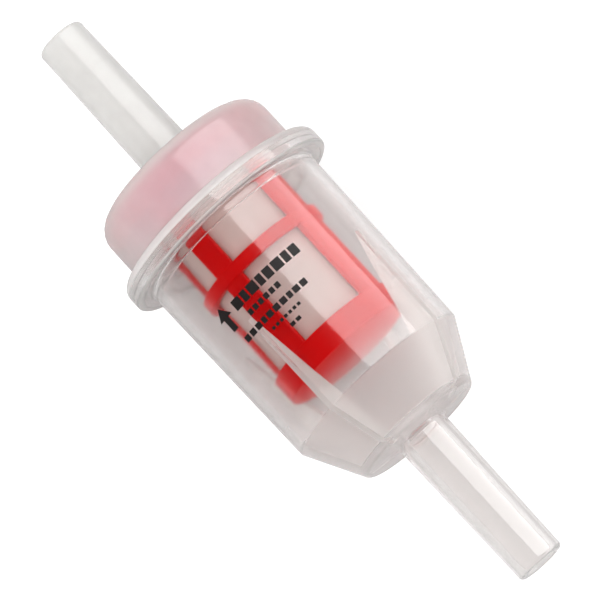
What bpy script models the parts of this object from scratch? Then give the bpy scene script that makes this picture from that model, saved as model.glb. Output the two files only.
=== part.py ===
"""Sealed in-line fuel filter for a small engine.

Two translucent mouldings, a cap and a bowl, are welded together at a flange. Each ends in a
spigot for a fuel hose. A red cage carries a strainer mesh between them: its collar seats in the
cap, and its closed bottom is centred by four tapering webs inside the bowl.

Frame: the axis of the filter is X, with +X towards the bowl's spigot. The origin is on the axis,
halfway along the filter. +Z is up. Lengths are in metres.
"""

import math

import bmesh
import bpy

# Overall size
OVERALL_LENGTH = 0.1060
END_X = OVERALL_LENGTH / 2

# Space left between two pieces that meet
GAP = 0.0003

# Hose spigots, the same on both ends
SPIGOT_TIP_R = 0.0039
SPIGOT_ROOT_R = 0.0042
SPIGOT_BORE_R = 0.0025
SPIGOT_TIP_ROUND = 0.0005
SPIGOT_ROOT_FILLET = 0.0008
BORE_CHAMFER = 0.0003

# Cap
CAP_TOP_X = -0.0278
CAP_TOP_FALL = 0.0006
CAP_R = 0.01535
CAP_BORE_R = 0.0129
CAP_TOP_WALL = 0.0020
CAP_TOP_ROUND = 0.0032
CAP_INNER_ROUND = 0.0010
LIP_END_X = -0.01335

# Weld flange, shared by the cap and the bowl
FLANGE_R = 0.01825
FLANGE_CAP_FACE_X = -0.0178
FLANGE_JOINT_X = -0.0164
FLANGE_BOWL_FACE_X = -0.0144
FLANGE_RIM_ROUND = 0.0012
FLANGE_FILLET = 0.0005

# Bowl
BOWL_MOUTH_R = 0.0155
BOWL_CORNER_R = 0.01505
BOWL_CORNER_X = 0.01755
BOWL_FLOOR_R = 0.0102
BOWL_FLOOR_X = 0.0267
BOWL_FLOOR_BULGE = 0.0004
BOWL_WALL = 0.0013
BOWL_FLOOR_WALL = 0.0015
BOWL_EDGE_ROUND = 0.0004
BOWL_FLOOR_ROUND = 0.0006

# Element cage
CAGE_R = 0.0105
CAGE_BORE_R = 0.0094
COLLAR_R = CAP_BORE_R - GAP
COLLAR_LENGTH = 0.0030
UPPER_HOOP = (-0.0083, -0.00635)
LOWER_HOOP_START_X = 0.0075
CAGE_BOTTOM_X = 0.01145
HOOP_R = 0.0109
CAGE_BOTTOM_WALL = 0.0012
CAGE_BOTTOM_CHAMFER = 0.0005
BAR_COUNT = 4
NARROW_BAR = math.radians(20)
WIDE_BAR = math.radians(30)

# One wide bar stands at this angle, from +Z towards +Y. The webs line up with the bars.
INDEX_ANGLE = math.radians(50)

# Locating webs inside the bowl
WEB_THICKNESS = 0.0009
WEB_START_X = 0.0
WEB_SEAT_X = CAGE_BOTTOM_X + GAP
WEB_SEAT_R = HOOP_R + GAP
WEB_FOOT_R = 0.0070
WEB_ROOT_DEPTH = 0.0006

# Strainer mesh
MESH_R = CAGE_BORE_R - GAP
MESH_THICKNESS = 0.0004

# Facets
TURN_STEPS = 64
WINDOW_STEPS = 12
ROUND_STEPS = 4
SHARP_ANGLE = math.radians(28)


def arc(centre_x, centre_r, radius, start_deg, end_deg):
    """Points (x, r) along an arc. Angle 0 points along +X and 90 points away from the axis."""
    points = []
    for i in range(ROUND_STEPS + 1):
        angle = math.radians(start_deg + (end_deg - start_deg) * i / ROUND_STEPS)
        points.append((centre_x + radius * math.cos(angle), centre_r + radius * math.sin(angle)))
    return points


def rounded(before, corner, after, radius):
    """Points (x, r) of an arc that rounds the corner between two straight runs."""
    to_before = (before[0] - corner[0], before[1] - corner[1])
    to_after = (after[0] - corner[0], after[1] - corner[1])
    angle_before = math.atan2(to_before[1], to_before[0])
    angle_after = math.atan2(to_after[1], to_after[0])
    opening = (angle_after - angle_before + math.pi) % math.tau - math.pi
    centre_distance = radius / math.sin(abs(opening) / 2)
    middle = angle_before + opening / 2
    centre = (corner[0] + centre_distance * math.cos(middle),
              corner[1] + centre_distance * math.sin(middle))
    turn = math.copysign(math.pi - abs(opening), opening)
    first = middle + math.pi + turn / 2
    last = middle + math.pi - turn / 2
    return arc(*centre, radius, math.degrees(first), math.degrees(last))


def spigot_outline(tip_x, root_x, shoulder):
    """Points (x, r) from the bore's mouth at the tip, over the outside, to the root's fillet.

    The face at the root runs on to the shoulder.
    """
    side = math.copysign(1.0, tip_x - root_x)
    tip_corner = (tip_x, SPIGOT_TIP_R)
    root_corner = (root_x, SPIGOT_ROOT_R)
    face = (tip_x, SPIGOT_BORE_R + BORE_CHAMFER)
    points = [(tip_x - side * BORE_CHAMFER, SPIGOT_BORE_R), face]
    points += rounded(face, tip_corner, root_corner, SPIGOT_TIP_ROUND)
    points += rounded(tip_corner, root_corner, shoulder, SPIGOT_ROOT_FILLET)
    return points


def bowl_inner_radius(x):
    """Radius of the bowl's inner wall, above the corner where its cone starts."""
    share = (x - FLANGE_BOWL_FACE_X) / (BOWL_CORNER_X - FLANGE_BOWL_FACE_X)
    return BOWL_MOUTH_R + (BOWL_CORNER_R - BOWL_MOUTH_R) * share - BOWL_WALL


def bowl_inner_corners():
    """The inner wall's corner above the cone, and the cone's corner at the inner floor."""
    fall = (BOWL_CORNER_R - BOWL_FLOOR_R) / (BOWL_FLOOR_X - BOWL_CORNER_X)
    half_turn = math.atan(fall) / 2
    upper_x = BOWL_CORNER_X - BOWL_WALL * math.tan(half_turn)
    upper = (upper_x, bowl_inner_radius(upper_x))
    floor_x = BOWL_FLOOR_X - BOWL_FLOOR_WALL
    floor = (floor_x, upper[1] - fall * (floor_x - upper_x))
    return upper, floor


def cap_section():
    """Closed outline of the cap, as (x, r) points."""
    top_corner = (CAP_TOP_X + CAP_TOP_FALL, CAP_R)
    flange_root = (FLANGE_CAP_FACE_X, CAP_R)
    flange_corner = (FLANGE_CAP_FACE_X, FLANGE_R)
    joint_x = FLANGE_JOINT_X - GAP / 2
    lip_r = bowl_inner_radius(FLANGE_BOWL_FACE_X) - GAP
    inner_top = (CAP_TOP_X + CAP_TOP_WALL, CAP_BORE_R)
    points = spigot_outline(-END_X, CAP_TOP_X, top_corner)
    points += rounded((CAP_TOP_X, SPIGOT_ROOT_R), top_corner, flange_root, CAP_TOP_ROUND)
    points += rounded(top_corner, flange_root, flange_corner, FLANGE_FILLET)
    points += rounded(flange_root, flange_corner, (joint_x, FLANGE_R), FLANGE_RIM_ROUND)
    points += [(joint_x, FLANGE_R), (joint_x, lip_r), (LIP_END_X, lip_r), (LIP_END_X, CAP_BORE_R)]
    points += rounded((LIP_END_X, CAP_BORE_R), inner_top, (inner_top[0], 0.0), CAP_INNER_ROUND)
    points.append((inner_top[0], SPIGOT_BORE_R))
    return points


def bowl_section():
    """Closed outline of the bowl without its webs, as (x, r) points."""
    joint_x = FLANGE_JOINT_X + GAP / 2
    mouth_r = BOWL_MOUTH_R - BOWL_WALL
    flange_corner = (FLANGE_BOWL_FACE_X, FLANGE_R)
    flange_root = (FLANGE_BOWL_FACE_X, BOWL_MOUTH_R)
    corner = (BOWL_CORNER_X, BOWL_CORNER_R)
    floor_corner = (BOWL_FLOOR_X, BOWL_FLOOR_R)
    inner_corner, inner_floor = bowl_inner_corners()
    root_x = BOWL_FLOOR_X + BOWL_FLOOR_BULGE
    points = spigot_outline(END_X, root_x, floor_corner)
    points += rounded((root_x, SPIGOT_ROOT_R), floor_corner, corner, BOWL_FLOOR_ROUND)
    points += rounded(floor_corner, corner, flange_root, BOWL_EDGE_ROUND)
    points += rounded(corner, flange_root, flange_corner, FLANGE_FILLET)
    points += rounded(flange_root, flange_corner, (joint_x, FLANGE_R), FLANGE_RIM_ROUND)
    points += [(joint_x, FLANGE_R), (joint_x, mouth_r), (FLANGE_BOWL_FACE_X, mouth_r)]
    points += [inner_corner, inner_floor, (inner_floor[0], SPIGOT_BORE_R)]
    return points


def cage_section():
    """Closed outline of the cage before its windows are cut, as (x, r) points."""
    collar_x = CAP_TOP_X + CAP_TOP_WALL + GAP
    collar_end_x = collar_x + COLLAR_LENGTH
    return [
        (collar_x, CAGE_BORE_R),
        (collar_x, COLLAR_R),
        (collar_end_x, COLLAR_R),
        (collar_end_x, CAGE_R),
        (UPPER_HOOP[0], CAGE_R),
        (UPPER_HOOP[0], HOOP_R),
        (UPPER_HOOP[1], HOOP_R),
        (UPPER_HOOP[1], CAGE_R),
        (LOWER_HOOP_START_X, CAGE_R),
        (LOWER_HOOP_START_X, HOOP_R),
        (CAGE_BOTTOM_X - CAGE_BOTTOM_CHAMFER, HOOP_R),
        (CAGE_BOTTOM_X, HOOP_R - CAGE_BOTTOM_CHAMFER),
        (CAGE_BOTTOM_X, 0.0),
        (CAGE_BOTTOM_X - CAGE_BOTTOM_WALL, 0.0),
        (CAGE_BOTTOM_X - CAGE_BOTTOM_WALL, CAGE_BORE_R),
    ]


def mesh_section():
    """Closed outline of the strainer tube, as (x, r) points."""
    start_x = CAP_TOP_X + CAP_TOP_WALL + GAP
    end_x = CAGE_BOTTOM_X - CAGE_BOTTOM_WALL - GAP
    inner_r = MESH_R - MESH_THICKNESS
    return [(start_x, inner_r), (start_x, MESH_R), (end_x, MESH_R), (end_x, inner_r)]


def web_section():
    """Closed outline of one locating web, as (x, r) points. Its outer side is buried in the wall."""
    inner_corner, inner_floor = bowl_inner_corners()
    start_r = bowl_inner_radius(WEB_START_X)
    buried_floor_x = inner_floor[0] + WEB_ROOT_DEPTH
    return [
        (WEB_START_X, start_r),
        (WEB_START_X, start_r + WEB_ROOT_DEPTH),
        (inner_corner[0], inner_corner[1] + WEB_ROOT_DEPTH),
        (inner_floor[0], inner_floor[1] + WEB_ROOT_DEPTH),
        (buried_floor_x, inner_floor[1]),
        (buried_floor_x, WEB_FOOT_R),
        (WEB_SEAT_X, WEB_SEAT_R),
    ]


def add_object(name, bm, material):
    """Turns a bmesh into a named object, shaded smooth across its shallow edges."""
    bmesh.ops.recalc_face_normals(bm, faces=bm.faces)
    mesh = bpy.data.meshes.new(name)
    bm.to_mesh(mesh)
    bm.free()
    mesh.shade_smooth()
    mesh.set_sharp_from_angle(angle=SHARP_ANGLE)
    obj = bpy.data.objects.new(name, mesh)
    bpy.context.scene.collection.objects.link(obj)
    if material is not None:
        mesh.materials.append(material)
    return obj


def outline_face(bm, outline, angle):
    """One face on the plane that holds the axis and stands at this angle from +Z towards +Y."""
    side, up = math.sin(angle), math.cos(angle)
    return bm.faces.new([bm.verts.new((x, r * side, r * up)) for x, r in outline])


def turned(name, outline, material):
    """A solid of revolution about X."""
    bm = bmesh.new()
    face = outline_face(bm, outline, 0.0)
    edges = list(face.edges)
    bmesh.ops.delete(bm, geom=[face], context="FACES_ONLY")
    geom = edges + list(bm.verts)
    bmesh.ops.spin(bm, geom=geom, axis=(1, 0, 0), cent=(0, 0, 0), angle=math.tau,
                   steps=TURN_STEPS, use_merge=True)
    bmesh.ops.remove_doubles(bm, verts=bm.verts, dist=1e-6)
    return add_object(name, bm, material)


def make_cutter(name, bm):
    """An object that only shapes another one."""
    cutter = add_object(name, bm, None)
    cutter.hide_render = True
    cutter.display_type = "WIRE"
    return cutter


def add_boolean(obj, tool, operation):
    """Joins the tool to the object, or cuts it away."""
    modifier = obj.modifiers.new(tool.name, "BOOLEAN")
    modifier.object = tool
    modifier.operation = operation
    modifier.solver = "EXACT"


def plastic(name, colour, roughness, transmission=0.0):
    """A plain moulded plastic."""
    material = bpy.data.materials.new(name)
    material.use_nodes = True
    shader = material.node_tree.nodes["Principled BSDF"]
    shader.inputs["Base Color"].default_value = (*colour, 1.0)
    shader.inputs["Roughness"].default_value = roughness
    shader.inputs["Metallic"].default_value = 0.0
    shader.inputs["Transmission Weight"].default_value = transmission
    return material


def bar_angles():
    """Angle and width of each bar, from +Z towards +Y. Wide and narrow bars alternate."""
    pitch = math.tau / BAR_COUNT
    return [(INDEX_ANGLE + i * pitch, WIDE_BAR if i % 2 == 0 else NARROW_BAR)
            for i in range(BAR_COUNT)]


def add_window(bm, x_range, start, end):
    """Adds one ring sector that is deeper and taller than the cage's wall."""
    inner_r = (CAGE_BORE_R + MESH_R) / 2
    outer_r = COLLAR_R
    outline = [(x_range[0], inner_r), (x_range[0], outer_r),
               (x_range[1], outer_r), (x_range[1], inner_r)]
    loops = []
    for i in range(WINDOW_STEPS + 1):
        angle = start + (end - start) * i / WINDOW_STEPS
        side, up = math.sin(angle), math.cos(angle)
        loops.append([bm.verts.new((x, r * side, r * up)) for x, r in outline])
    for first, second in zip(loops, loops[1:]):
        for k in range(len(outline)):
            following = (k + 1) % len(outline)
            bm.faces.new((first[k], first[following], second[following], second[k]))
    bm.faces.new(reversed(loops[0]))
    bm.faces.new(loops[-1])


def window_cutter():
    """Every window of the cage: one row above the upper hoop and one row below it."""
    collar_end_x = CAP_TOP_X + CAP_TOP_WALL + GAP + COLLAR_LENGTH
    rows = [(collar_end_x, UPPER_HOOP[0]), (UPPER_HOOP[1], LOWER_HOOP_START_X)]
    bars = bar_angles()
    bm = bmesh.new()
    for i, (angle, width) in enumerate(bars):
        next_angle, next_width = bars[(i + 1) % len(bars)]
        if i + 1 == len(bars):
            next_angle += math.tau
        for row in rows:
            add_window(bm, row, angle + width / 2, next_angle - next_width / 2)
    return make_cutter("window_cutter", bm)


def web(index, angle):
    """One flat web, standing on the plane through the axis at this angle."""
    bm = bmesh.new()
    face = outline_face(bm, web_section(), angle)
    across = (0.0, WEB_THICKNESS * math.cos(angle), -WEB_THICKNESS * math.sin(angle))
    grown = bmesh.ops.extrude_face_region(bm, geom=[face])["geom"]
    moved = [v for v in grown if isinstance(v, bmesh.types.BMVert)]
    bmesh.ops.translate(bm, verts=moved, vec=across)
    half_back = tuple(-0.5 * value for value in across)
    bmesh.ops.translate(bm, verts=bm.verts, vec=half_back)
    return make_cutter(f"web_{index}", bm)


def build_cap():
    milky = plastic("milky_plastic", (0.87, 0.80, 0.81), 0.35, 0.4)
    return turned("cap_shell", cap_section(), milky)


def build_bowl():
    clear = plastic("clear_plastic", (0.88, 0.87, 0.86), 0.15, 0.85)
    bowl = turned("bowl_shell", bowl_section(), clear)
    for index, (angle, _) in enumerate(bar_angles()):
        add_boolean(bowl, web(index, angle), "UNION")
    return bowl


def build_cage():
    red = plastic("red_plastic", (0.60, 0.0, 0.004), 0.35)
    cage = turned("element_cage", cage_section(), red)
    add_boolean(cage, window_cutter(), "DIFFERENCE")
    return cage


def build_mesh_sleeve():
    nylon = plastic("nylon_mesh", (0.80, 0.72, 0.66), 0.75)
    return turned("mesh_sleeve", mesh_section(), nylon)


def clear_scene():
    for obj in list(bpy.data.objects):
        bpy.data.objects.remove(obj)


clear_scene()
build_cap()
build_bowl()
build_cage()
build_mesh_sleeve()
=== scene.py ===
"""Looks of the sealed in-line fuel filter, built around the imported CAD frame.

The axis is X, with +X towards the bowl's spigot. Angles round the axis run from +Z towards +Y.
"""

import math

import bmesh
import bpy
from mathutils import Matrix, Vector


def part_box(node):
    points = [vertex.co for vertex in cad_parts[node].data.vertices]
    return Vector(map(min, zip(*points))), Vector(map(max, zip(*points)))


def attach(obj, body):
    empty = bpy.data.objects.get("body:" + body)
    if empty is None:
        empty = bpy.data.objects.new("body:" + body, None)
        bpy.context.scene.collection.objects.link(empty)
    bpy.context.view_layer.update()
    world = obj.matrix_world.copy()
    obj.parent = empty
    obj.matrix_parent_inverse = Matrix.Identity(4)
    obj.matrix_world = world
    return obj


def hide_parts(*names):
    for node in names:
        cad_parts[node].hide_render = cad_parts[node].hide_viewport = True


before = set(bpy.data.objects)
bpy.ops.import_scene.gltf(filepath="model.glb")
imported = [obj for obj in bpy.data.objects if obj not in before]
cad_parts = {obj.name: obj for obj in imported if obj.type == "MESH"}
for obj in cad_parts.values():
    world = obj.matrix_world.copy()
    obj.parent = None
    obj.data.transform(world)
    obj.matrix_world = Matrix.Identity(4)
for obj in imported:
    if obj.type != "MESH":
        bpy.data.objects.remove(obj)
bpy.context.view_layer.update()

MM = 0.001

# Places read from the frame
CAP_LOW, CAP_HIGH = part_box("cap_shell")
BOWL_LOW, BOWL_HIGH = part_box("bowl_shell")
CAGE_LOW, CAGE_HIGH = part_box("element_cage")
MESH_LOW, MESH_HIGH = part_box("mesh_sleeve")
TIP_X = BOWL_HIGH.x
FLANGE_R = CAP_HIGH.z
JOINT_X = BOWL_LOW.x - 0.15 * MM
LIP_END_X = CAP_HIGH.x
COLLAR_R = CAGE_HIGH.z
COLLAR_X = CAGE_LOW.x
CAGE_BOTTOM_X = CAGE_HIGH.x
MESH_R = MESH_HIGH.z

# Spigots
SPIGOT_TIP_R = 3.9 * MM
SPIGOT_ROOT_R = 4.2 * MM
BORE_R = 2.5 * MM

SPIGOT_TIP_ROUND = 0.55 * MM
SPIGOT_ROOT_ROUND = 0.8 * MM
BORE_ROUND = 0.25 * MM

# Cap
CAP_TOP_X = COLLAR_X - 2.3 * MM
CAP_R = FLANGE_R - 2.9 * MM
CAP_BORE_R = COLLAR_R + 0.3 * MM
CAP_TOP_WALL = 2.0 * MM
CAP_TOP_FALL = 0.6 * MM
CAP_TOP_ROUND = 3.2 * MM

# Weld flange
CAP_FLANGE = 1.4 * MM
BOWL_FLANGE = 2.0 * MM
CAP_FLANGE_ROUND = 1.2 * MM
BOWL_FLANGE_ROUND = 0.4 * MM
FLANGE_FILLET = 0.5 * MM
SEAM = 0.02 * MM
SEAM_ROUND = 0.04 * MM

# Bowl
BOWL_MOUTH_R = 15.5 * MM
BOWL_CORNER_R = 15.05 * MM
BOWL_CORNER_X = TIP_X - 35.45 * MM
BOWL_FLOOR_X = TIP_X - 26.3 * MM
BOWL_FLOOR_BULGE = 0.4 * MM
BOWL_FLOOR_R = 10.2 * MM
BOWL_WALL = 1.3 * MM
BOWL_FLOOR_WALL = 1.5 * MM

# Cage
CAGE_R = 10.5 * MM
HOOP_R = 10.9 * MM
CAGE_BORE_R = MESH_R + 0.3 * MM
COLLAR_END_X = COLLAR_X + 3.0 * MM
UPPER_HOOP = (CAGE_BOTTOM_X - 19.75 * MM, CAGE_BOTTOM_X - 17.8 * MM)
LOWER_HOOP_X = CAGE_BOTTOM_X - 3.95 * MM
CAGE_BOTTOM_WALL = 1.2 * MM
CAGE_EDGE_ROUND = 0.16 * MM
INDEX_ANGLE = math.radians(50)
BAR_WIDTHS = (math.radians(30), math.radians(20), math.radians(30), math.radians(20))

# Mesh behind the cage's windows
MESH_WALL = 0.35 * MM
MESH_SAG = 0.18 * MM
THREAD_PITCH = 0.22 * MM

# Webs inside the bowl
WEB_THICKNESS = 0.9 * MM
WEB_START_X = 0.0
WEB_SEAT = (CAGE_BOTTOM_X + 0.3 * MM, HOOP_R + 0.3 * MM)
WEB_FOOT_R = 7.0 * MM
WEB_ROOT_DEPTH = 0.6 * MM

# Plastic. A milk share is how much of the light a surface scatters instead of passing it on. The
# cap's pink is painted light: the red of the cage's collar, which shines through the milky cap, is
# painted into the cap's milky colour.
CLEAR_TINT = (0.93, 0.885, 0.875)
MILK_TINT = (0.77, 0.77, 0.755)
PAINTED_GLOW_TINT = (0.67, 0.505, 0.55)
PLASTIC_IOR = 1.49
EDGE_MILK = 0.65
CLEAR_MILK = 0.0
CONE_MILK = 0.17
WEB_MILK = 0.85
RIM_MILK = 0.20
RIM_EDGE_MILK = 0.6
CAP_SPIGOT_MILK = 0.50
BOWL_SPIGOT_MILK = 0.16
CAP_MILK = 0.55
CAP_FLANGE_MILK = 0.85
HAZE_START_X = BOWL_CORNER_X - 4.5 * MM
CONE_START_X = BOWL_CORNER_X - 0.2 * MM
SCATTERED_THROUGH = 0.45
SATIN_ROUGHNESS = 0.20
OUTSIDE_ROUGHNESS = 0.10
INSIDE_ROUGHNESS = 0.12
FROSTED_ROUGHNESS = 0.80
HAZY_ROUGHNESS = 0.40
WEB_ROUGHNESS = 0.30

# Printed mark. A row of dashes is where it starts along the axis and its depth, both in mm, then the
# angle where it starts and each dash's length, both in degrees.
INK_THICKNESS = 0.015 * MM
INK_GAP = 0.01 * MM
INK_STEPS = 6
ARROW_X = (-4.3 * MM, -0.2 * MM)
ARROW_ANGLE = math.radians(-39)
ARROW_HALF = math.radians(5.5)
MARK_SPACE = math.radians(1.2)
MARK_ROWS = (
    (-3.5, 1.7, -30.0, (6, 4, 6, 4, 5, 6, 4, 5)),
    (-0.8, 0.9, -26.0, (3, 3, 3, 3, 3, 3)),
    (1.4, 1.0, -39.0, (4, 4, 4, 3, 4, 4, 4, 3, 4, 4)),
    (3.5, 0.5, -22.0, (2, 2, 2, 2, 2, 2, 2)),
    (5.0, 0.6, -13.0, (3, 3)),
)

# Fineness
TURN_STEPS = 160
ARC_STEPS = 6
RUN_LENGTH = 1.5 * MM
BAR_STEPS = 8
WINDOW_STEPS = 20
MESH_STEPS = 60
SHARP_ANGLE = math.radians(40)

# Light. A radiance of 1 shows as full white. Distances and sizes of lights are in metres.
ROOM_LIGHT = 0.60
BRIGHT_SIDE = 1.7
DIM_SIDE = 0.25
DARK_SIDE = 0.01
SHINE_RADIANCE = 5.7
FILL_RADIANCE = 2.3
SOFTBOX_ANGLE = math.radians(40.8)
SOFTBOX_LEAN = -0.19
SOFTBOX_DISTANCE = 0.7
SOFTBOX_SIZE = (0.9, 0.975)
FRONT_RADIANCE = 2.3
FRONT_LEAN = 0.5
FRONT_DISTANCE = 0.8
FRONT_SIZE = (1.2, 1.2)
FLOOR_COLOUR = (0.52, 0.52, 0.52, 1.0)
FLOOR_GLOW = 0.60
# Painted glow on the floor as the plastic shows it. It rises towards the right and stands in for the light
# from the softbox side.
SIDE_GLOW = 0.36
SIDE_GLOW_PLACES = (4 * MM, 28 * MM)
WHITE = (1.0, 1.0, 1.0, 1.0)

# Camera
AZIMUTH = math.radians(48.4)
ELEVATION = math.radians(75.0)
CAMERA_DISTANCE = 0.80
VIEW_WIDTH = 87.6 * MM
AIM = (0.52 * MM, -0.02 * MM, 0.05 * MM)
SENSOR_WIDTH = 36.0


# ---------------------------------------------------------------- outlines

def rounded_outline(corners):
    """Points (x, r, corner number) of a closed outline. Each corner is (x, r, radius of its rounding)."""
    points = []
    for i, (x, r, radius) in enumerate(corners):
        corner = Vector((x, r))
        if radius == 0.0:
            points.append((x, r, i))
            continue
        before = (Vector(corners[i - 1][:2]) - corner).normalized()
        after = (Vector(corners[(i + 1) % len(corners)][:2]) - corner).normalized()
        opening = before.angle(after)
        centre = corner + (before + after).normalized() * radius / math.sin(opening / 2)
        first = corner + before * radius / math.tan(opening / 2) - centre
        turn = math.copysign(math.pi - opening, before.x * after.y - before.y * after.x)
        for k in range(ARC_STEPS + 1):
            angle = -turn * k / ARC_STEPS
            c, s = math.cos(angle), math.sin(angle)
            points.append((centre.x + c * first.x - s * first.y, centre.y + s * first.x + c * first.y, i))
    return points


def divided(points):
    """The same closed outline, with long runs cut into short ones."""
    result = []
    for (x, r, i), (next_x, next_r, _) in zip(points, points[1:] + points[:1]):
        pieces = max(1, round(math.hypot(next_x - x, next_r - r) / RUN_LENGTH))
        result += [(x + (next_x - x) * k / pieces, r + (next_r - r) * k / pieces, i) for k in range(pieces)]
    return result


def bowl_inner_r(x):
    start = JOINT_X + BOWL_FLANGE
    share = (x - start) / (BOWL_CORNER_X - start)
    return BOWL_MOUTH_R + (BOWL_CORNER_R - BOWL_MOUTH_R) * share - BOWL_WALL


def bowl_inner_corners():
    fall = (BOWL_CORNER_R - BOWL_FLOOR_R) / (BOWL_FLOOR_X - BOWL_CORNER_X)
    upper_x = BOWL_CORNER_X - BOWL_WALL * math.tan(math.atan(fall) / 2)
    upper_r = bowl_inner_r(upper_x)
    floor_x = BOWL_FLOOR_X - BOWL_FLOOR_WALL
    return (upper_x, upper_r), (floor_x, upper_r - fall * (floor_x - upper_x))


def cap_outlines():
    """The cap's outer run and its inner run, which together close its section."""
    joint = JOINT_X - SEAM / 2
    lip_r = bowl_inner_r(JOINT_X + BOWL_FLANGE) - 0.3 * MM
    inner_top = CAP_TOP_X + CAP_TOP_WALL
    outer = [
        (-TIP_X, BORE_R, BORE_ROUND),
        (-TIP_X, SPIGOT_TIP_R, SPIGOT_TIP_ROUND),
        (CAP_TOP_X, SPIGOT_ROOT_R, SPIGOT_ROOT_ROUND),
        (CAP_TOP_X + CAP_TOP_FALL, CAP_R, CAP_TOP_ROUND),
        (JOINT_X - CAP_FLANGE, CAP_R, FLANGE_FILLET),
        (JOINT_X - CAP_FLANGE, FLANGE_R, CAP_FLANGE_ROUND),
        (joint, FLANGE_R, SEAM_ROUND),
    ]
    inner = [
        (joint, lip_r, 0.15 * MM),
        (LIP_END_X, lip_r, 0.3 * MM),
        (LIP_END_X, CAP_BORE_R, 0.2 * MM),
        (inner_top, CAP_BORE_R, 1.0 * MM),
        (inner_top, BORE_R, 0.3 * MM),
    ]
    return outer, inner


def bowl_outlines():
    """The bowl's outer run and its inner run, which together close its section."""
    joint = JOINT_X + SEAM / 2
    mouth_r = BOWL_MOUTH_R - BOWL_WALL
    upper, floor = bowl_inner_corners()
    outer = [
        (joint, FLANGE_R, SEAM_ROUND),
        (JOINT_X + BOWL_FLANGE, FLANGE_R, BOWL_FLANGE_ROUND),
        (JOINT_X + BOWL_FLANGE, BOWL_MOUTH_R, FLANGE_FILLET),
        (BOWL_CORNER_X, BOWL_CORNER_R, 0.5 * MM),
        (BOWL_FLOOR_X, BOWL_FLOOR_R, 0.7 * MM),
        (BOWL_FLOOR_X + BOWL_FLOOR_BULGE, SPIGOT_ROOT_R, SPIGOT_ROOT_ROUND),
        (TIP_X, SPIGOT_TIP_R, SPIGOT_TIP_ROUND),
        (TIP_X, BORE_R, BORE_ROUND),
    ]
    inner = [
        (floor[0], BORE_R, 0.3 * MM),
        (*floor, 0.5 * MM),
        (*upper, 0.6 * MM),
        (JOINT_X + BOWL_FLANGE, mouth_r, 0.0),
        (joint, mouth_r, 0.15 * MM),
    ]
    return outer, inner


# ---------------------------------------------------------------- meshes

def around(x, r, angle):
    """The point at this place along the axis, radius and angle."""
    return (x, r * math.sin(angle), r * math.cos(angle))


def finish_mesh(name, bm):
    bmesh.ops.recalc_face_normals(bm, faces=bm.faces)
    mesh = bpy.data.meshes.new(name)
    bm.to_mesh(mesh)
    bm.free()
    mesh.shade_smooth()
    mesh.set_sharp_from_angle(angle=SHARP_ANGLE)
    obj = bpy.data.objects.new(name, mesh)
    bpy.context.scene.collection.objects.link(obj)
    return obj


def turned(name, outer, inner, inner_end):
    """A turned shell. Faces of the inner run get material slot 1 up to inner_end, and 2 beyond it."""
    outline = divided(rounded_outline(outer + inner))
    bm = bmesh.new()
    rings = []
    for k in range(TURN_STEPS):
        angle = math.tau * k / TURN_STEPS
        rings.append([bm.verts.new(around(x, r, angle)) for x, r, _ in outline])
    for k, ring in enumerate(rings):
        following = rings[(k + 1) % TURN_STEPS]
        for i, (x, _, corner) in enumerate(outline):
            j = (i + 1) % len(outline)
            face = bm.faces.new((ring[i], ring[j], following[j], following[i]))
            if len(outer) <= corner < len(outer + inner) - 1:
                face.material_index = 1 if x < inner_end else 2
    return finish_mesh(name, bm)


def web_blank(index, angle):
    """One web as a solid plate that reaches into the bowl's wall."""
    upper, floor = bowl_inner_corners()
    start_r = bowl_inner_r(WEB_START_X)
    buried_x = floor[0] + WEB_ROOT_DEPTH
    corners = [
        (WEB_START_X, start_r),
        (WEB_START_X, start_r + WEB_ROOT_DEPTH),
        (upper[0], upper[1] + WEB_ROOT_DEPTH),
        (floor[0], floor[1] + WEB_ROOT_DEPTH),
        (buried_x, floor[1]),
        (buried_x, WEB_FOOT_R),
        WEB_SEAT,
    ]
    across = Vector((0.0, math.cos(angle), -math.sin(angle))) * WEB_THICKNESS
    bm = bmesh.new()
    near = [bm.verts.new(Vector(around(x, r, angle)) - across / 2) for x, r in corners]
    far = [bm.verts.new(Vector(around(x, r, angle)) + across / 2) for x, r in corners]
    bm.faces.new(near)
    bm.faces.new(list(reversed(far)))
    for i in range(len(corners)):
        j = (i + 1) % len(corners)
        bm.faces.new((near[i], far[i], far[j], near[j]))
    for face in bm.faces:
        face.material_index = 3
    return finish_mesh(f"web_blank_{index}", bm)


def apply_modifiers(obj):
    """Bakes an object's modifiers into its mesh."""
    dg = bpy.context.evaluated_depsgraph_get()
    mesh = bpy.data.meshes.new_from_object(obj.evaluated_get(dg), depsgraph=dg)
    obj.modifiers.clear()
    obj.data = mesh


def bowl_mesh():
    """The bowl with its webs. Faces of the webs get material slot 3."""
    bowl = turned("bowl", *bowl_outlines(), CONE_START_X)
    for _ in range(4):
        bowl.data.materials.append(None)
    blanks = [web_blank(i, INDEX_ANGLE + i * math.tau / 4) for i in range(4)]
    for blank in blanks:
        union = bowl.modifiers.new(blank.name, "BOOLEAN")
        union.object = blank
        union.operation = "UNION"
        union.solver = "EXACT"
    apply_modifiers(bowl)
    for blank in blanks:
        bpy.data.objects.remove(blank)
    bowl.data.set_sharp_from_angle(angle=SHARP_ANGLE)
    return bowl


def cage_angles():
    """Angles round the cage, each with whether the stretch after it is a window."""
    angles = []
    for i, width in enumerate(BAR_WIDTHS):
        centre = INDEX_ANGLE + i * math.tau / 4
        next_start = centre + math.tau / 4 - BAR_WIDTHS[(i + 1) % 4] / 2
        start, end = centre - width / 2, centre + width / 2
        angles += [(start + (end - start) * k / BAR_STEPS, False) for k in range(BAR_STEPS)]
        angles += [(end + (next_start - end) * k / WINDOW_STEPS, True) for k in range(WINDOW_STEPS)]
    return angles


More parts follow.
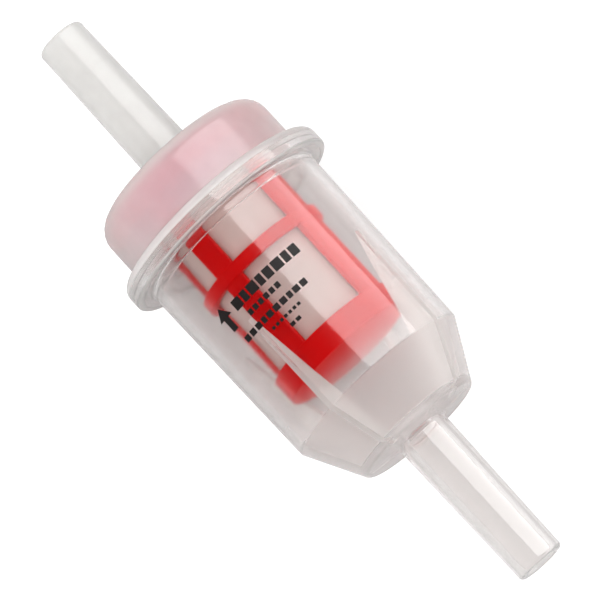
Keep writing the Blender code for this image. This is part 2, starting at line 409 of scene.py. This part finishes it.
def cage_section():
    """The cage's section as (x, r), and for each window row its two outer and two inner points."""
    inner_bottom = CAGE_BOTTOM_X - CAGE_BOTTOM_WALL
    section = [
        (COLLAR_X, CAGE_BORE_R), (COLLAR_X, COLLAR_R), (COLLAR_END_X, COLLAR_R),
        (COLLAR_END_X, CAGE_R), (UPPER_HOOP[0], CAGE_R),
        (UPPER_HOOP[0], HOOP_R), (UPPER_HOOP[1], HOOP_R),
        (UPPER_HOOP[1], CAGE_R), (LOWER_HOOP_X, CAGE_R),
        (LOWER_HOOP_X, HOOP_R), (CAGE_BOTTOM_X, HOOP_R), (CAGE_BOTTOM_X, 0.0),
        (inner_bottom, 0.0), (inner_bottom, CAGE_BORE_R),
        (LOWER_HOOP_X, CAGE_BORE_R), (UPPER_HOOP[1], CAGE_BORE_R),
        (UPPER_HOOP[0], CAGE_BORE_R), (COLLAR_END_X, CAGE_BORE_R),
    ]
    rows = [(3, 4, 16, 17), (7, 8, 14, 15)]
    return section, rows


def cage_mesh():
    """The cage with open windows, as one closed surface with rounded edges."""
    section, rows = cage_section()
    skipped = {row[0] for row in rows} | {row[2] for row in rows}
    angles = cage_angles()
    bm = bmesh.new()
    centres = {i: bm.verts.new((x, 0.0, 0.0)) for i, (x, r) in enumerate(section) if r == 0.0}
    rings = []
    for angle, _ in angles:
        rings.append([centres.get(i) or bm.verts.new(around(x, r, angle))
                      for i, (x, r) in enumerate(section)])
    for k, (_, window) in enumerate(angles):
        ring, following = rings[k], rings[(k + 1) % len(rings)]
        before_window = angles[k - 1][1]
        for i in range(len(section)):
            j = (i + 1) % len(section)
            if (window and i in skipped) or (i in centres and j in centres):
                continue
            corners = [ring[i], ring[j], following[j], following[i]]
            bm.faces.new(list(dict.fromkeys(corners)))
        for a, b, c, d in rows:
            if window:
                bm.faces.new((ring[a], ring[d], following[d], following[a]))
                bm.faces.new((ring[b], ring[c], following[c], following[b]))
            if window != before_window:
                bm.faces.new((ring[a], ring[b], ring[c], ring[d]))
    cage = finish_mesh("strainer_cage", bm)
    bevel = cage.modifiers.new("edges", "BEVEL")
    bevel.width = CAGE_EDGE_ROUND
    bevel.segments = 3
    bevel.limit_method = "ANGLE"
    bevel.angle_limit = math.radians(35)
    apply_modifiers(cage)
    cage.data.set_sharp_from_angle(angle=SHARP_ANGLE)
    return cage


def mesh_tube():
    """The strainer's tube. It bows inwards a little in the middle of each window."""
    angles = cage_angles()
    rows = [(COLLAR_END_X, UPPER_HOOP[0]), (UPPER_HOOP[1], LOWER_HOOP_X)]
    spacing = (MESH_HIGH.x - MESH_LOW.x) / MESH_STEPS

    def sag(x, angle):
        lengthwise = 0.0
        for low, high in rows:
            if low < x < high:
                lengthwise = math.sin(math.pi * (x - low) / (high - low))
        quarter = (angle - INDEX_ANGLE) % (math.tau / 4) / (math.tau / 4)
        return MESH_SAG * lengthwise * math.sin(math.pi * quarter) ** 2

    bm = bmesh.new()
    outside, inside = [], []
    for i in range(MESH_STEPS + 1):
        x = MESH_LOW.x + spacing * i
        outside.append([bm.verts.new(around(x, MESH_R - sag(x, a), a)) for a, _ in angles])
        inside.append([bm.verts.new(around(x, MESH_R - MESH_WALL - sag(x, a), a)) for a, _ in angles])
    count = len(angles)
    for i in range(MESH_STEPS):
        for k in range(count):
            n = (k + 1) % count
            bm.faces.new((outside[i][k], outside[i][n], outside[i + 1][n], outside[i + 1][k]))
            bm.faces.new((inside[i][k], inside[i + 1][k], inside[i + 1][n], inside[i][n]))
    for k in range(count):
        n = (k + 1) % count
        bm.faces.new((outside[0][k], inside[0][k], inside[0][n], outside[0][n]))
        bm.faces.new((outside[-1][k], outside[-1][n], inside[-1][n], inside[-1][k]))
    return finish_mesh("strainer_fabric", bm)


def step(value, start, end):
    """0 before start, 1 after end, and a smooth rise between them."""
    share = min(max((value - start) / (end - start), 0.0), 1.0)
    return share * share * (3.0 - 2.0 * share)


def cap_milk(x, r):
    """How milky the cap looks. The lip inside the bowl is thin and clear."""
    if r < SPIGOT_ROOT_R + 0.3 * MM and x < CAP_TOP_X:
        return CAP_SPIGOT_MILK
    milk = CAP_FLANGE_MILK if r > CAP_R + 0.4 * MM else CAP_MILK
    return milk + (CLEAR_MILK - milk) * step(x, JOINT_X - 0.1 * MM, JOINT_X + 0.1 * MM)


def bowl_milk(x, r):
    """How milky the bowl looks: clear round the cage, milkier in the flange, the cone and the spigot."""
    if r < SPIGOT_ROOT_R + 0.3 * MM and x > BOWL_FLOOR_X - 2.0 * MM:
        return BOWL_SPIGOT_MILK
    if r > BOWL_MOUTH_R + 1.0 * MM:
        rim_end = JOINT_X + BOWL_FLANGE
        return RIM_MILK + (RIM_EDGE_MILK - RIM_MILK) * step(x, rim_end - BOWL_FLANGE_ROUND, rim_end)
    return CLEAR_MILK + (CONE_MILK - CLEAR_MILK) * step(x, HAZE_START_X, BOWL_CORNER_X)


# The bowl gets no painted red glow.
def no_painted_red_glow(x, r):
    return 0.0


def cap_painted_red_glow(x, r):
    """How much painted red glow the cap gets, standing in for the collar's red shining through it."""
    if r < SPIGOT_ROOT_R + 1.5 * MM:
        return 0.0
    return step(x, CAP_TOP_X - 0.5 * MM, CAP_TOP_X + 3.0 * MM) * step(JOINT_X - x, 0.0, 2.5 * MM)


def store(obj, name, field):
    """Writes a value that depends on the distance along and from the axis into the mesh."""
    layer = obj.data.attributes.new(name, "FLOAT", "POINT")
    for vertex, value in zip(obj.data.vertices, layer.data):
        x, y, z = vertex.co
        value.value = field(x, math.hypot(y, z))


def bowl_outer_r(x):
    return bowl_inner_r(x) + BOWL_WALL


def ink_patch(bm, x_range, angle_range, narrowing=0.0):
    """A thin closed patch of ink that follows the bowl. It can narrow to a point along X."""
    rows = []
    for i in range(INK_STEPS + 1):
        angle = angle_range[0] + (angle_range[1] - angle_range[0]) * i / INK_STEPS
        off_middle = abs(2.0 * i / INK_STEPS - 1.0)
        start = x_range[0] + (x_range[1] - x_range[0]) * narrowing * off_middle
        end = x_range[1]
        corners = []
        for x, lift in ((start, 0.0), (end, 0.0), (end, INK_THICKNESS), (start, INK_THICKNESS)):
            corners.append(bm.verts.new(around(x, bowl_outer_r(x) + INK_GAP + lift, angle)))
        rows.append(corners)
    for row, following in zip(rows, rows[1:]):
        for k in range(4):
            n = (k + 1) % 4
            bm.faces.new((row[k], row[n], following[n], following[k]))
    bm.faces.new(rows[0])
    bm.faces.new(list(reversed(rows[-1])))


def marking_mesh(front_angle):
    """A plain printed mark: an arrow for the flow, towards the cap, and rows of dashes beside it."""
    bm = bmesh.new()
    middle = front_angle + ARROW_ANGLE
    neck_x = ARROW_X[0] + 0.45 * (ARROW_X[1] - ARROW_X[0])
    ink_patch(bm, (ARROW_X[0], neck_x), (middle - ARROW_HALF, middle + ARROW_HALF), 0.98)
    ink_patch(bm, (neck_x, ARROW_X[1]), (middle - 0.4 * ARROW_HALF, middle + 0.4 * ARROW_HALF))
    for start_x, depth, start, lengths in MARK_ROWS:
        angle = front_angle + math.radians(start)
        for length in lengths:
            end = angle + math.radians(length)
            ink_patch(bm, (start_x * MM, (start_x + depth) * MM), (angle, end))
            angle = end + MARK_SPACE
    return finish_mesh("printed_mark", bm)


# ---------------------------------------------------------------- materials

def new_material(name):
    material = bpy.data.materials.new(name)
    material.use_nodes = True
    nodes = material.node_tree.nodes
    return material, nodes, material.node_tree.links, nodes["Principled BSDF"]


def noise(nodes, links, vector, scale, detail=2.0):
    node = nodes.new("ShaderNodeTexNoise")
    node.inputs["Scale"].default_value = scale
    node.inputs["Detail"].default_value = detail
    links.new(vector, node.inputs["Vector"])
    return node.outputs["Fac"]


def ramp(nodes, links, value, low, high):
    """Maps a 0 to 1 value onto low to high."""
    node = nodes.new("ShaderNodeMapRange")
    node.inputs["To Min"].default_value = low
    node.inputs["To Max"].default_value = high
    links.new(value, node.inputs["Value"])
    return node.outputs["Result"]


def bump(nodes, links, height, distance, strength=1.0):
    node = nodes.new("ShaderNodeBump")
    node.inputs["Distance"].default_value = distance
    node.inputs["Strength"].default_value = strength
    links.new(height, node.inputs["Height"])
    return node.outputs["Normal"]


def math_node(nodes, links, operation, first, second=None):
    """A Math node's output. Its inputs are sockets or plain numbers."""
    node = nodes.new("ShaderNodeMath")
    node.operation = operation
    for i, value in enumerate((first, second)):
        if isinstance(value, float):
            node.inputs[i].default_value = value
        elif value is not None:
            links.new(value, node.inputs[i])
    return node.outputs[0]


def attribute(nodes, name):
    node = nodes.new("ShaderNodeAttribute")
    node.attribute_name = name
    return node.outputs["Fac"]


def mix_colours(nodes, links, share, first, second):
    """A colour between two. Each is a plain colour or a socket."""
    node = nodes.new("ShaderNodeMix")
    node.data_type = "RGBA"
    for i, colour in ((6, first), (7, second)):
        if isinstance(colour, tuple):
            node.inputs[i].default_value = (*colour, 1.0)
        else:
            links.new(colour, node.inputs[i])
    links.new(share, node.inputs[0])
    return node.outputs[2]


def mix_shaders(nodes, links, share, first, second):
    node = nodes.new("ShaderNodeMixShader")
    if isinstance(share, float):
        node.inputs[0].default_value = share
    else:
        links.new(share, node.inputs[0])
    links.new(first, node.inputs[1])
    links.new(second, node.inputs[2])
    return node.outputs[0]


def shell_material(name, roughness, waviness, least_milk=0.0):
    """Translucent moulded plastic: part clear, part milky, as the mesh's milk value says."""
    material, nodes, links, clear = new_material(name)
    place = nodes.new("ShaderNodeTexCoord").outputs["Object"]
    cloud = noise(nodes, links, place, 180.0, 3.0)
    normal = bump(nodes, links, noise(nodes, links, place, 220.0), waviness)
    rough = ramp(nodes, links, cloud, roughness * 0.7, roughness * 1.3)
    facing = nodes.new("ShaderNodeLayerWeight")
    facing.inputs["Blend"].default_value = 0.5
    turned_away = facing.outputs["Facing"]
    straight = math_node(nodes, links, "SUBTRACT", 1.0, turned_away)
    straight = math_node(nodes, links, "POWER", straight, 1.5)
    # The milky colour turns towards the glow tint as the stored glow value says, most where the surface
    # faces the camera: a painted red glow for the collar shining through the cap.
    painted_red_glow = math_node(nodes, links, "MULTIPLY", attribute(nodes, "painted_red_glow"), straight)
    milky_colour_with_glow = mix_colours(nodes, links, painted_red_glow, MILK_TINT, PAINTED_GLOW_TINT)
    milky = nodes.new("ShaderNodeBsdfPrincipled")
    through = nodes.new("ShaderNodeBsdfTranslucent")
    lit = nodes.new("ShaderNodeBsdfTransparent")
    clear.inputs["Base Color"].default_value = (*CLEAR_TINT, 1.0)
    clear.inputs["Transmission Weight"].default_value = 1.0
    links.new(milky_colour_with_glow, milky.inputs["Base Color"])
    links.new(milky_colour_with_glow, through.inputs["Color"])
    for node in (clear, milky):
        node.inputs["IOR"].default_value = PLASTIC_IOR
        links.new(rough, node.inputs["Roughness"])
        links.new(normal, node.inputs["Normal"])

    edge = math_node(nodes, links, "POWER", turned_away, 3.0)
    edge = math_node(nodes, links, "MULTIPLY", edge, EDGE_MILK)
    stored = math_node(nodes, links, "MAXIMUM", attribute(nodes, "milk"), least_milk)
    cloudy = math_node(nodes, links, "MULTIPLY", stored, ramp(nodes, links, cloud, 0.85, 1.15))
    milk = math_node(nodes, links, "MAXIMUM", cloudy, edge)
    scattered = mix_shaders(nodes, links, SCATTERED_THROUGH, milky.outputs[0], through.outputs[0])
    body = mix_shaders(nodes, links, milk, clear.outputs[0], scattered)
    path = nodes.new("ShaderNodeLightPath")
    passed = math_node(nodes, links, "SUBTRACT", 1.0, stored)
    passed = math_node(nodes, links, "MULTIPLY", passed, path.outputs["Is Shadow Ray"])
    surface = mix_shaders(nodes, links, passed, body, lit.outputs[0])
    links.new(surface, nodes["Material Output"].inputs["Surface"])
    return material


def red_material():
    material, nodes, links, shader = new_material("moulded_red")
    place = nodes.new("ShaderNodeTexCoord").outputs["Object"]
    cloud = noise(nodes, links, place, 250.0, 4.0)
    colour = mix_colours(nodes, links, cloud, (0.80, 0.001, 0.002), (0.90, 0.003, 0.004))
    links.new(colour, shader.inputs["Base Color"])
    links.new(ramp(nodes, links, cloud, 0.28, 0.42), shader.inputs["Roughness"])
    shader.inputs["Specular IOR Level"].default_value = 0.05
    links.new(bump(nodes, links, noise(nodes, links, place, 2500.0), 0.01 * MM), shader.inputs["Normal"])
    return material


def fabric_material():
    """Fine woven nylon: threads along the axis and round it."""
    material, nodes, links, shader = new_material("woven_nylon")
    place = nodes.new("ShaderNodeTexCoord").outputs["Object"]
    parts = nodes.new("ShaderNodeSeparateXYZ")
    links.new(place, parts.inputs[0])

    angle = math_node(nodes, links, "ARCTAN2", parts.outputs["Y"], parts.outputs["Z"])
    threads_round = 2 * round(math.pi * MESH_R / THREAD_PITCH)
    warp = math_node(nodes, links, "SINE", math_node(nodes, links, "MULTIPLY", angle, float(threads_round)))
    weft = math_node(nodes, links, "SINE",
                     math_node(nodes, links, "MULTIPLY", parts.outputs["X"], math.tau / THREAD_PITCH))
    crossed = math_node(nodes, links, "MULTIPLY", warp, weft)
    weave = math_node(nodes, links, "ADD", math_node(nodes, links, "MULTIPLY", crossed, 0.5), 0.5)
    # Cream nylon with a painted pink cast, standing in for the red cage's light showing through the mesh.
    # The two shades follow the weave.
    colour = mix_colours(nodes, links, weave, (0.86, 0.70, 0.65), (0.96, 0.83, 0.79))
    links.new(colour, shader.inputs["Base Color"])
    shader.inputs["Roughness"].default_value = 0.55
    shader.inputs["Specular IOR Level"].default_value = 0.05
    links.new(bump(nodes, links, weave, 0.03 * MM), shader.inputs["Normal"])
    through = nodes.new("ShaderNodeBsdfTranslucent")
    links.new(colour, through.inputs["Color"])
    links.new(mix_shaders(nodes, links, 0.15, shader.outputs[0], through.outputs[0]),
              nodes["Material Output"].inputs["Surface"])
    return material


def ink_material():
    """Matt black pad-print ink, a little worn."""
    material, nodes, links, shader = new_material("ink")
    place = nodes.new("ShaderNodeTexCoord").outputs["Object"]
    wear = noise(nodes, links, place, 1800.0, 3.0)
    links.new(mix_colours(nodes, links, wear, (0.003, 0.002, 0.002), (0.012, 0.009, 0.009)),
              shader.inputs["Base Color"])
    links.new(ramp(nodes, links, wear, 0.45, 0.7), shader.inputs["Roughness"])
    shader.inputs["Specular IOR Level"].default_value = 0.2
    return material


def finish(piece, node, slot, *materials):
    """Gives a piece its materials, and hangs it on the frame in place of its CAD node."""
    slots = piece.data.materials
    for i, material in enumerate(materials):
        if i < len(slots):
            slots[i] = material
        else:
            slots.append(material)
    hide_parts(node)
    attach(piece, "root")


# ---------------------------------------------------------------- stage

def make_camera():
    back = Vector((math.sin(AZIMUTH) * math.cos(ELEVATION),
                   -math.cos(AZIMUTH) * math.cos(ELEVATION),
                   math.sin(ELEVATION)))
    data = bpy.data.cameras.new("camera")
    data.sensor_width = SENSOR_WIDTH
    data.lens = SENSOR_WIDTH * CAMERA_DISTANCE / VIEW_WIDTH
    camera = bpy.data.objects.new("camera", data)
    camera.rotation_mode = "QUATERNION"
    camera.rotation_quaternion = (-back).to_track_quat("-Z", "Y")
    camera.location = Vector(AIM) + back * CAMERA_DISTANCE
    bpy.context.scene.collection.objects.link(camera)
    bpy.context.scene.camera = camera
    return back


def make_softbox(name, direction, distance, size, radiance, in_reflections):
    """A rectangular light that faces the filter. It only shows in reflections, or only gives light."""
    data = bpy.data.lights.new(name, "AREA")
    data.shape = "RECTANGLE"
    data.size, data.size_y = size
    data.energy = radiance * math.pi * data.size * data.size_y
    light = bpy.data.objects.new(name, data)
    direction = direction.normalized()
    x_axis = (Vector((1, 0, 0)) - direction * direction.x).normalized()
    y_axis = direction.cross(x_axis)
    turn = Matrix((x_axis, y_axis, direction)).transposed()
    light.matrix_world = Matrix.Translation(direction * distance) @ turn.to_4x4()
    light.visible_camera = False
    light.visible_glossy = in_reflections
    light.visible_diffuse = not in_reflections
    light.visible_transmission = False
    bpy.context.scene.collection.objects.link(light)


def along(nodes, links, place, direction, places, values):
    """A value that changes smoothly as a point or a ray leans towards this direction."""
    dot = nodes.new("ShaderNodeVectorMath")
    dot.operation = "DOT_PRODUCT"
    dot.inputs[1].default_value = direction
    links.new(place, dot.inputs[0])
    node = nodes.new("ShaderNodeMapRange")
    node.interpolation_type = "SMOOTHSTEP"
    for name, value in zip(("From Min", "From Max", "To Min", "To Max"), (*places, *values)):
        node.inputs[name].default_value = value
    links.new(dot.outputs["Value"], node.inputs["Value"])
    return node.outputs["Result"]


def make_floor(right):
    """A pale floor that a camera sees as white. What the plastic shows of it has a painted glow that rises
    towards the right, standing in for the light on the softbox side, so it is darker on the left.
    """
    bpy.ops.mesh.primitive_plane_add(size=4.0, location=(0, 0, -FLANGE_R - 0.2 * MM))
    floor = bpy.context.object
    floor.name = "floor"
    material, nodes, links, shader = new_material("pale_floor")
    path = nodes.new("ShaderNodeLightPath")
    shader.inputs["Base Color"].default_value = FLOOR_COLOUR
    shader.inputs["Roughness"].default_value = 0.9
    shader.inputs["Specular IOR Level"].default_value = 0.0
    shader.inputs["Emission Color"].default_value = WHITE
    place = nodes.new("ShaderNodeTexCoord").outputs["Object"]
    side = along(nodes, links, place, right, SIDE_GLOW_PLACES, (0.0, SIDE_GLOW))
    glow = nodes.new("ShaderNodeMix")
    glow.inputs[3].default_value = FLOOR_GLOW
    links.new(path.outputs["Is Camera Ray"], glow.inputs[0])
    links.new(side, glow.inputs[2])
    links.new(glow.outputs[0], shader.inputs["Emission Strength"])
    floor.data.materials.append(material)


def make_world(front, right):
    """A pale room, white to a camera. In reflections it is dark in front and dim on the left."""
    world = bpy.data.worlds.new("studio")
    world.use_nodes = True
    nodes, links = world.node_tree.nodes, world.node_tree.links
    place = nodes.new("ShaderNodeTexCoord").outputs["Generated"]
    sides = along(nodes, links, place, right, (-0.9, 0.9), (DIM_SIDE, BRIGHT_SIDE))
    depth = along(nodes, links, place, front, (0.0, 0.6), (1.0, DARK_SIDE))
    shown = math_node(nodes, links, "MULTIPLY", sides, depth)
    path = nodes.new("ShaderNodeLightPath")
    strength = nodes.new("ShaderNodeMix")
    strength.inputs[2].default_value = ROOM_LIGHT
    links.new(path.outputs["Is Glossy Ray"], strength.inputs[0])
    links.new(shown, strength.inputs[3])
    backdrop = math_node(nodes, links, "MAXIMUM", strength.outputs[0], path.outputs["Is Camera Ray"])
    background = nodes["Background"]
    background.inputs["Color"].default_value = WHITE
    links.new(backdrop, background.inputs["Strength"])
    bpy.context.scene.world = world


cap = turned("cap", *cap_outlines(), JOINT_X)
bowl = bowl_mesh()
cage = cage_mesh()
fabric = mesh_tube()

store(cap, "milk", cap_milk)
store(cap, "painted_red_glow", cap_painted_red_glow)
store(bowl, "milk", bowl_milk)
store(bowl, "painted_red_glow", no_painted_red_glow)
outside = shell_material("plastic_outside", OUTSIDE_ROUGHNESS, 0.015 * MM)
satin = shell_material("plastic_satin", SATIN_ROUGHNESS, 0.015 * MM)
frosted = shell_material("plastic_frosted", FROSTED_ROUGHNESS, 0.02 * MM)
hazy = shell_material("plastic_hazy", HAZY_ROUGHNESS, 0.02 * MM)
inside = shell_material("plastic_inside", INSIDE_ROUGHNESS, 0.02 * MM)
webs = shell_material("plastic_webs", WEB_ROUGHNESS, 0.01 * MM, WEB_MILK)
finish(cap, "cap_shell", "milky_plastic", satin, frosted, outside)
finish(bowl, "bowl_shell", "clear_plastic", outside, inside, hazy, webs)
finish(cage, "element_cage", "red_plastic", red_material())
finish(fabric, "mesh_sleeve", "nylon_mesh", fabric_material())

towards_camera = make_camera()
front = Vector((0, towards_camera.y, towards_camera.z)).normalized()
mark = marking_mesh(math.atan2(front.y, front.z))
mark.data.materials.append(ink_material())
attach(mark, "root")
right = front.cross(Vector((1, 0, 0)))
if right.y < 0:
    right = -right
towards_softbox = front * math.cos(SOFTBOX_ANGLE) + right * math.sin(SOFTBOX_ANGLE)
towards_softbox += Vector((SOFTBOX_LEAN, 0, 0))
make_softbox("shine", towards_softbox, SOFTBOX_DISTANCE, SOFTBOX_SIZE, SHINE_RADIANCE, True)
make_softbox("fill", towards_softbox, SOFTBOX_DISTANCE, SOFTBOX_SIZE, FILL_RADIANCE, False)
make_softbox("front_fill", front - FRONT_LEAN * right, FRONT_DISTANCE, FRONT_SIZE, FRONT_RADIANCE, False)
make_floor(right)
make_world(front, right)
bpy.context.scene.view_settings.view_transform = "Standard"
